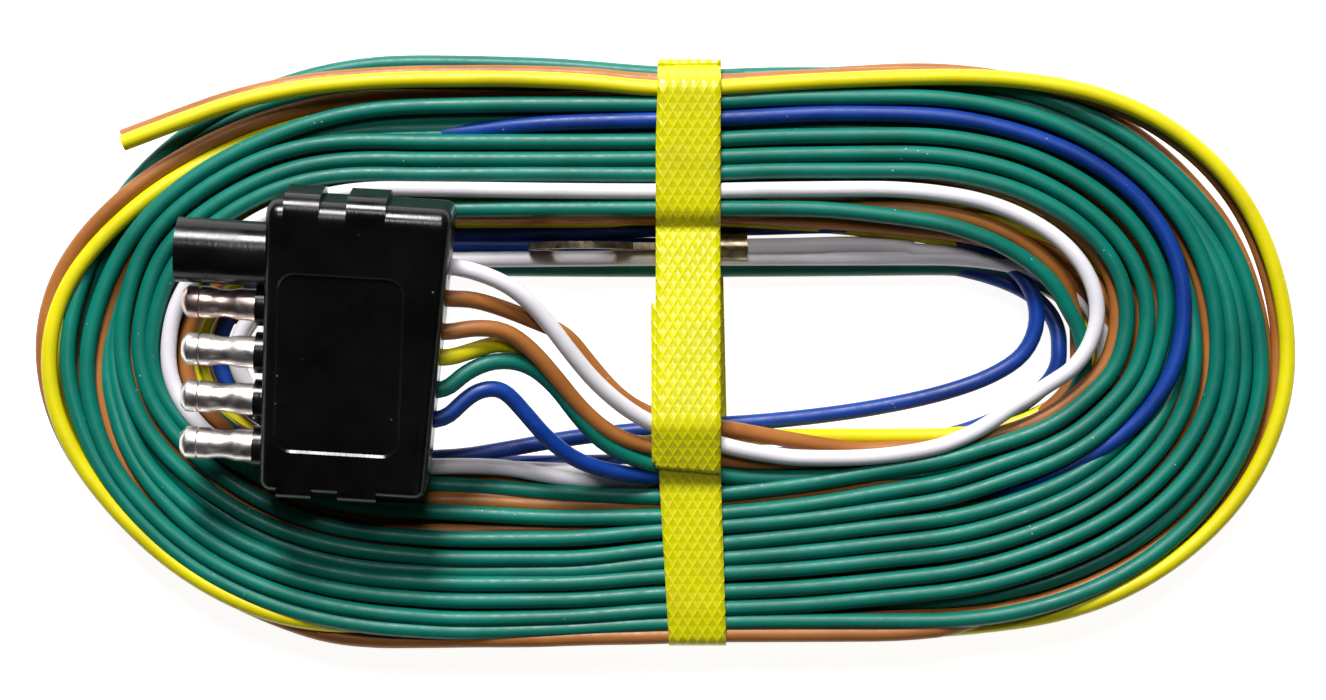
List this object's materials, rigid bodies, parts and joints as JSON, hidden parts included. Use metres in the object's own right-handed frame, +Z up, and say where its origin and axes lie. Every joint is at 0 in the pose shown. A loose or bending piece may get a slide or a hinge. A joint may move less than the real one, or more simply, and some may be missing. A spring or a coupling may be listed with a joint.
{
  "type": "trailer wiring connector",
  "caption": "Flat trailer wiring connector with bare bullet pins, a shrouded socket and colour-coded leads wound in a flat hank held by tape",
  "frame": {"origin": "middle of the whole harness's box in plan, on the surface it lies on", "axes": "+X along the hank, away from the mating side; +Y towards the socket end of the connector; +Z up"},
  "size_m": [0.1872, 0.0882, 0.0362],
  "materials": {
    "housing_black": "glossy moulded flexible plastic with fine scratches",
    "carrier_black": "moulded",
    "nickel": "bright nickel plate, lightly worn",
    "tinned_terminal": "tin plate over brass",
    "copper": "bare stranded copper",
    "pvc_white": "extruded wire insulation",
    "pvc_brown": "extruded wire insulation",
    "pvc_yellow": "extruded wire insulation",
    "pvc_green": "extruded wire insulation",
    "pvc_blue": "extruded wire insulation",
    "yellow_tape": "embossed diamond lattice, glossy"
  },
  "bodies": {
    "root": {"binding_tape": "yellow_tape", "bullet_blue": "nickel", "bullet_brown": "nickel", "bullet_green": "nickel", "bullet_yellow": "nickel", "coil_blue": "pvc_blue", "coil_green_brown": "pvc_green", "coil_white": "pvc_white", "coil_yellow_brown": "pvc_yellow", "conductor_blue": "copper", "conductor_brown_left": "copper", "conductor_brown_right": "copper", "conductor_green": "copper", "conductor_white": "copper", "conductor_yellow": "copper", "ground_conductor": "copper", "ground_tail": "pvc_white", "housing_overmould": "housing_black", "inner_turn_blue": "pvc_blue", "lead_blue": "pvc_blue", "lead_brown_left": "pvc_brown", "lead_brown_right": "pvc_brown", "lead_green": "pvc_green", "lead_white": "pvc_white", "lead_yellow": "pvc_yellow", "ring_terminal": "tinned_terminal", "socket_white": "nickel", "tail_brown": "pvc_brown", "tail_conductor_brown": "copper", "tail_conductor_yellow": "copper", "tail_yellow": "pvc_yellow", "terminal_carrier": "carrier_black"}
  },
  "joints": []
}
